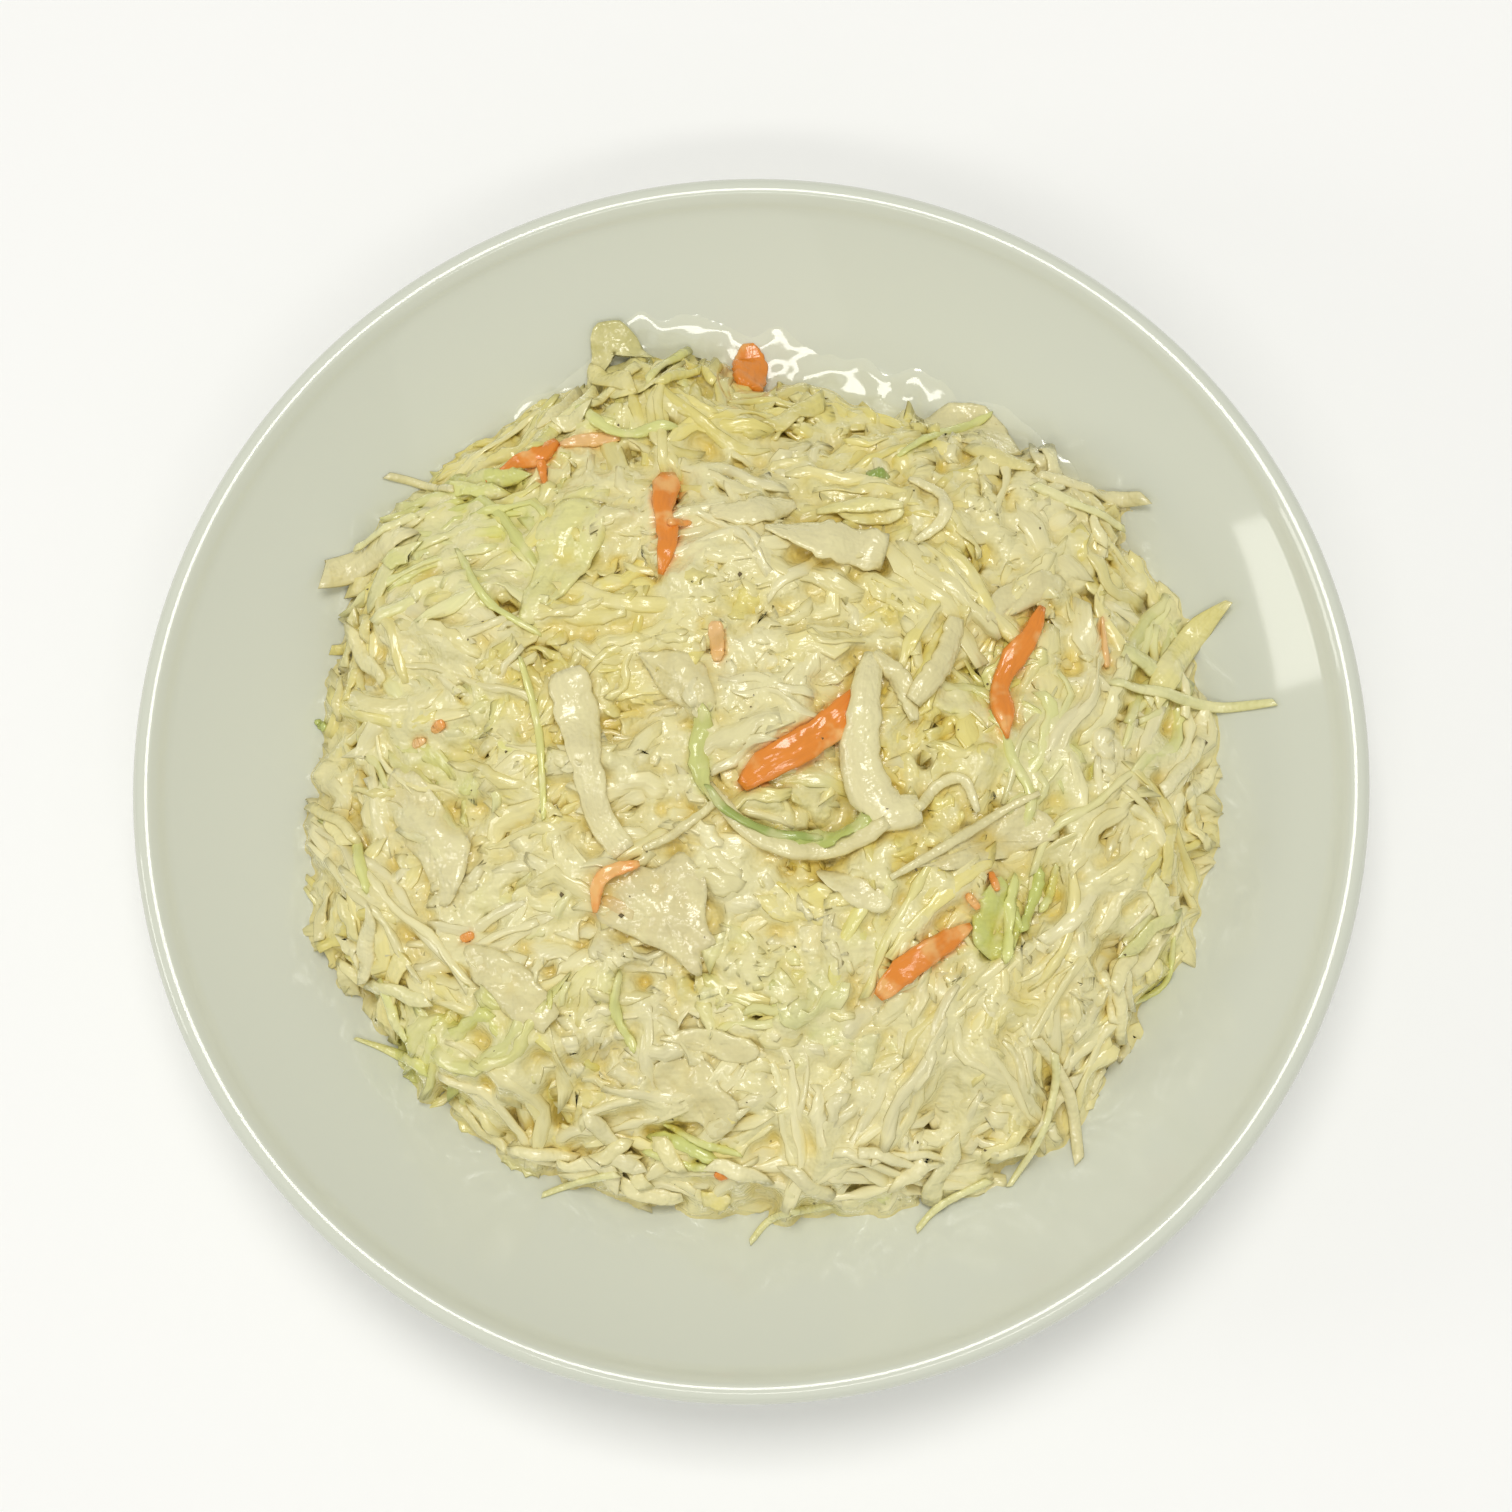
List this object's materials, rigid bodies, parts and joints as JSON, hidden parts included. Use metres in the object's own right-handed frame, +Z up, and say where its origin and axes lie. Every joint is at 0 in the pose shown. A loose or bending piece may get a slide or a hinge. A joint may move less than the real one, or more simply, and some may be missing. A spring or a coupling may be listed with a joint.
{
  "type": "bowl of coleslaw",
  "caption": "Shallow round white glazed bowl with an uneven heap of creamy coleslaw: shredded cabbage, cabbage leaf flakes and carrot strips.",
  "frame": {"origin": "centre of the bowl's foot, in the plane it stands on", "axes": "+Z up out of the bowl, +X to the right and +Y to the back as the bowl is served"},
  "size_m": [0.1998, 0.1998, 0.0512],
  "materials": {
    "glaze": "polished",
    "slaw": "satin"
  },
  "bodies": {
    "root": {"bowl": "glaze", "coleslaw": "slaw"}
  },
  "joints": []
}
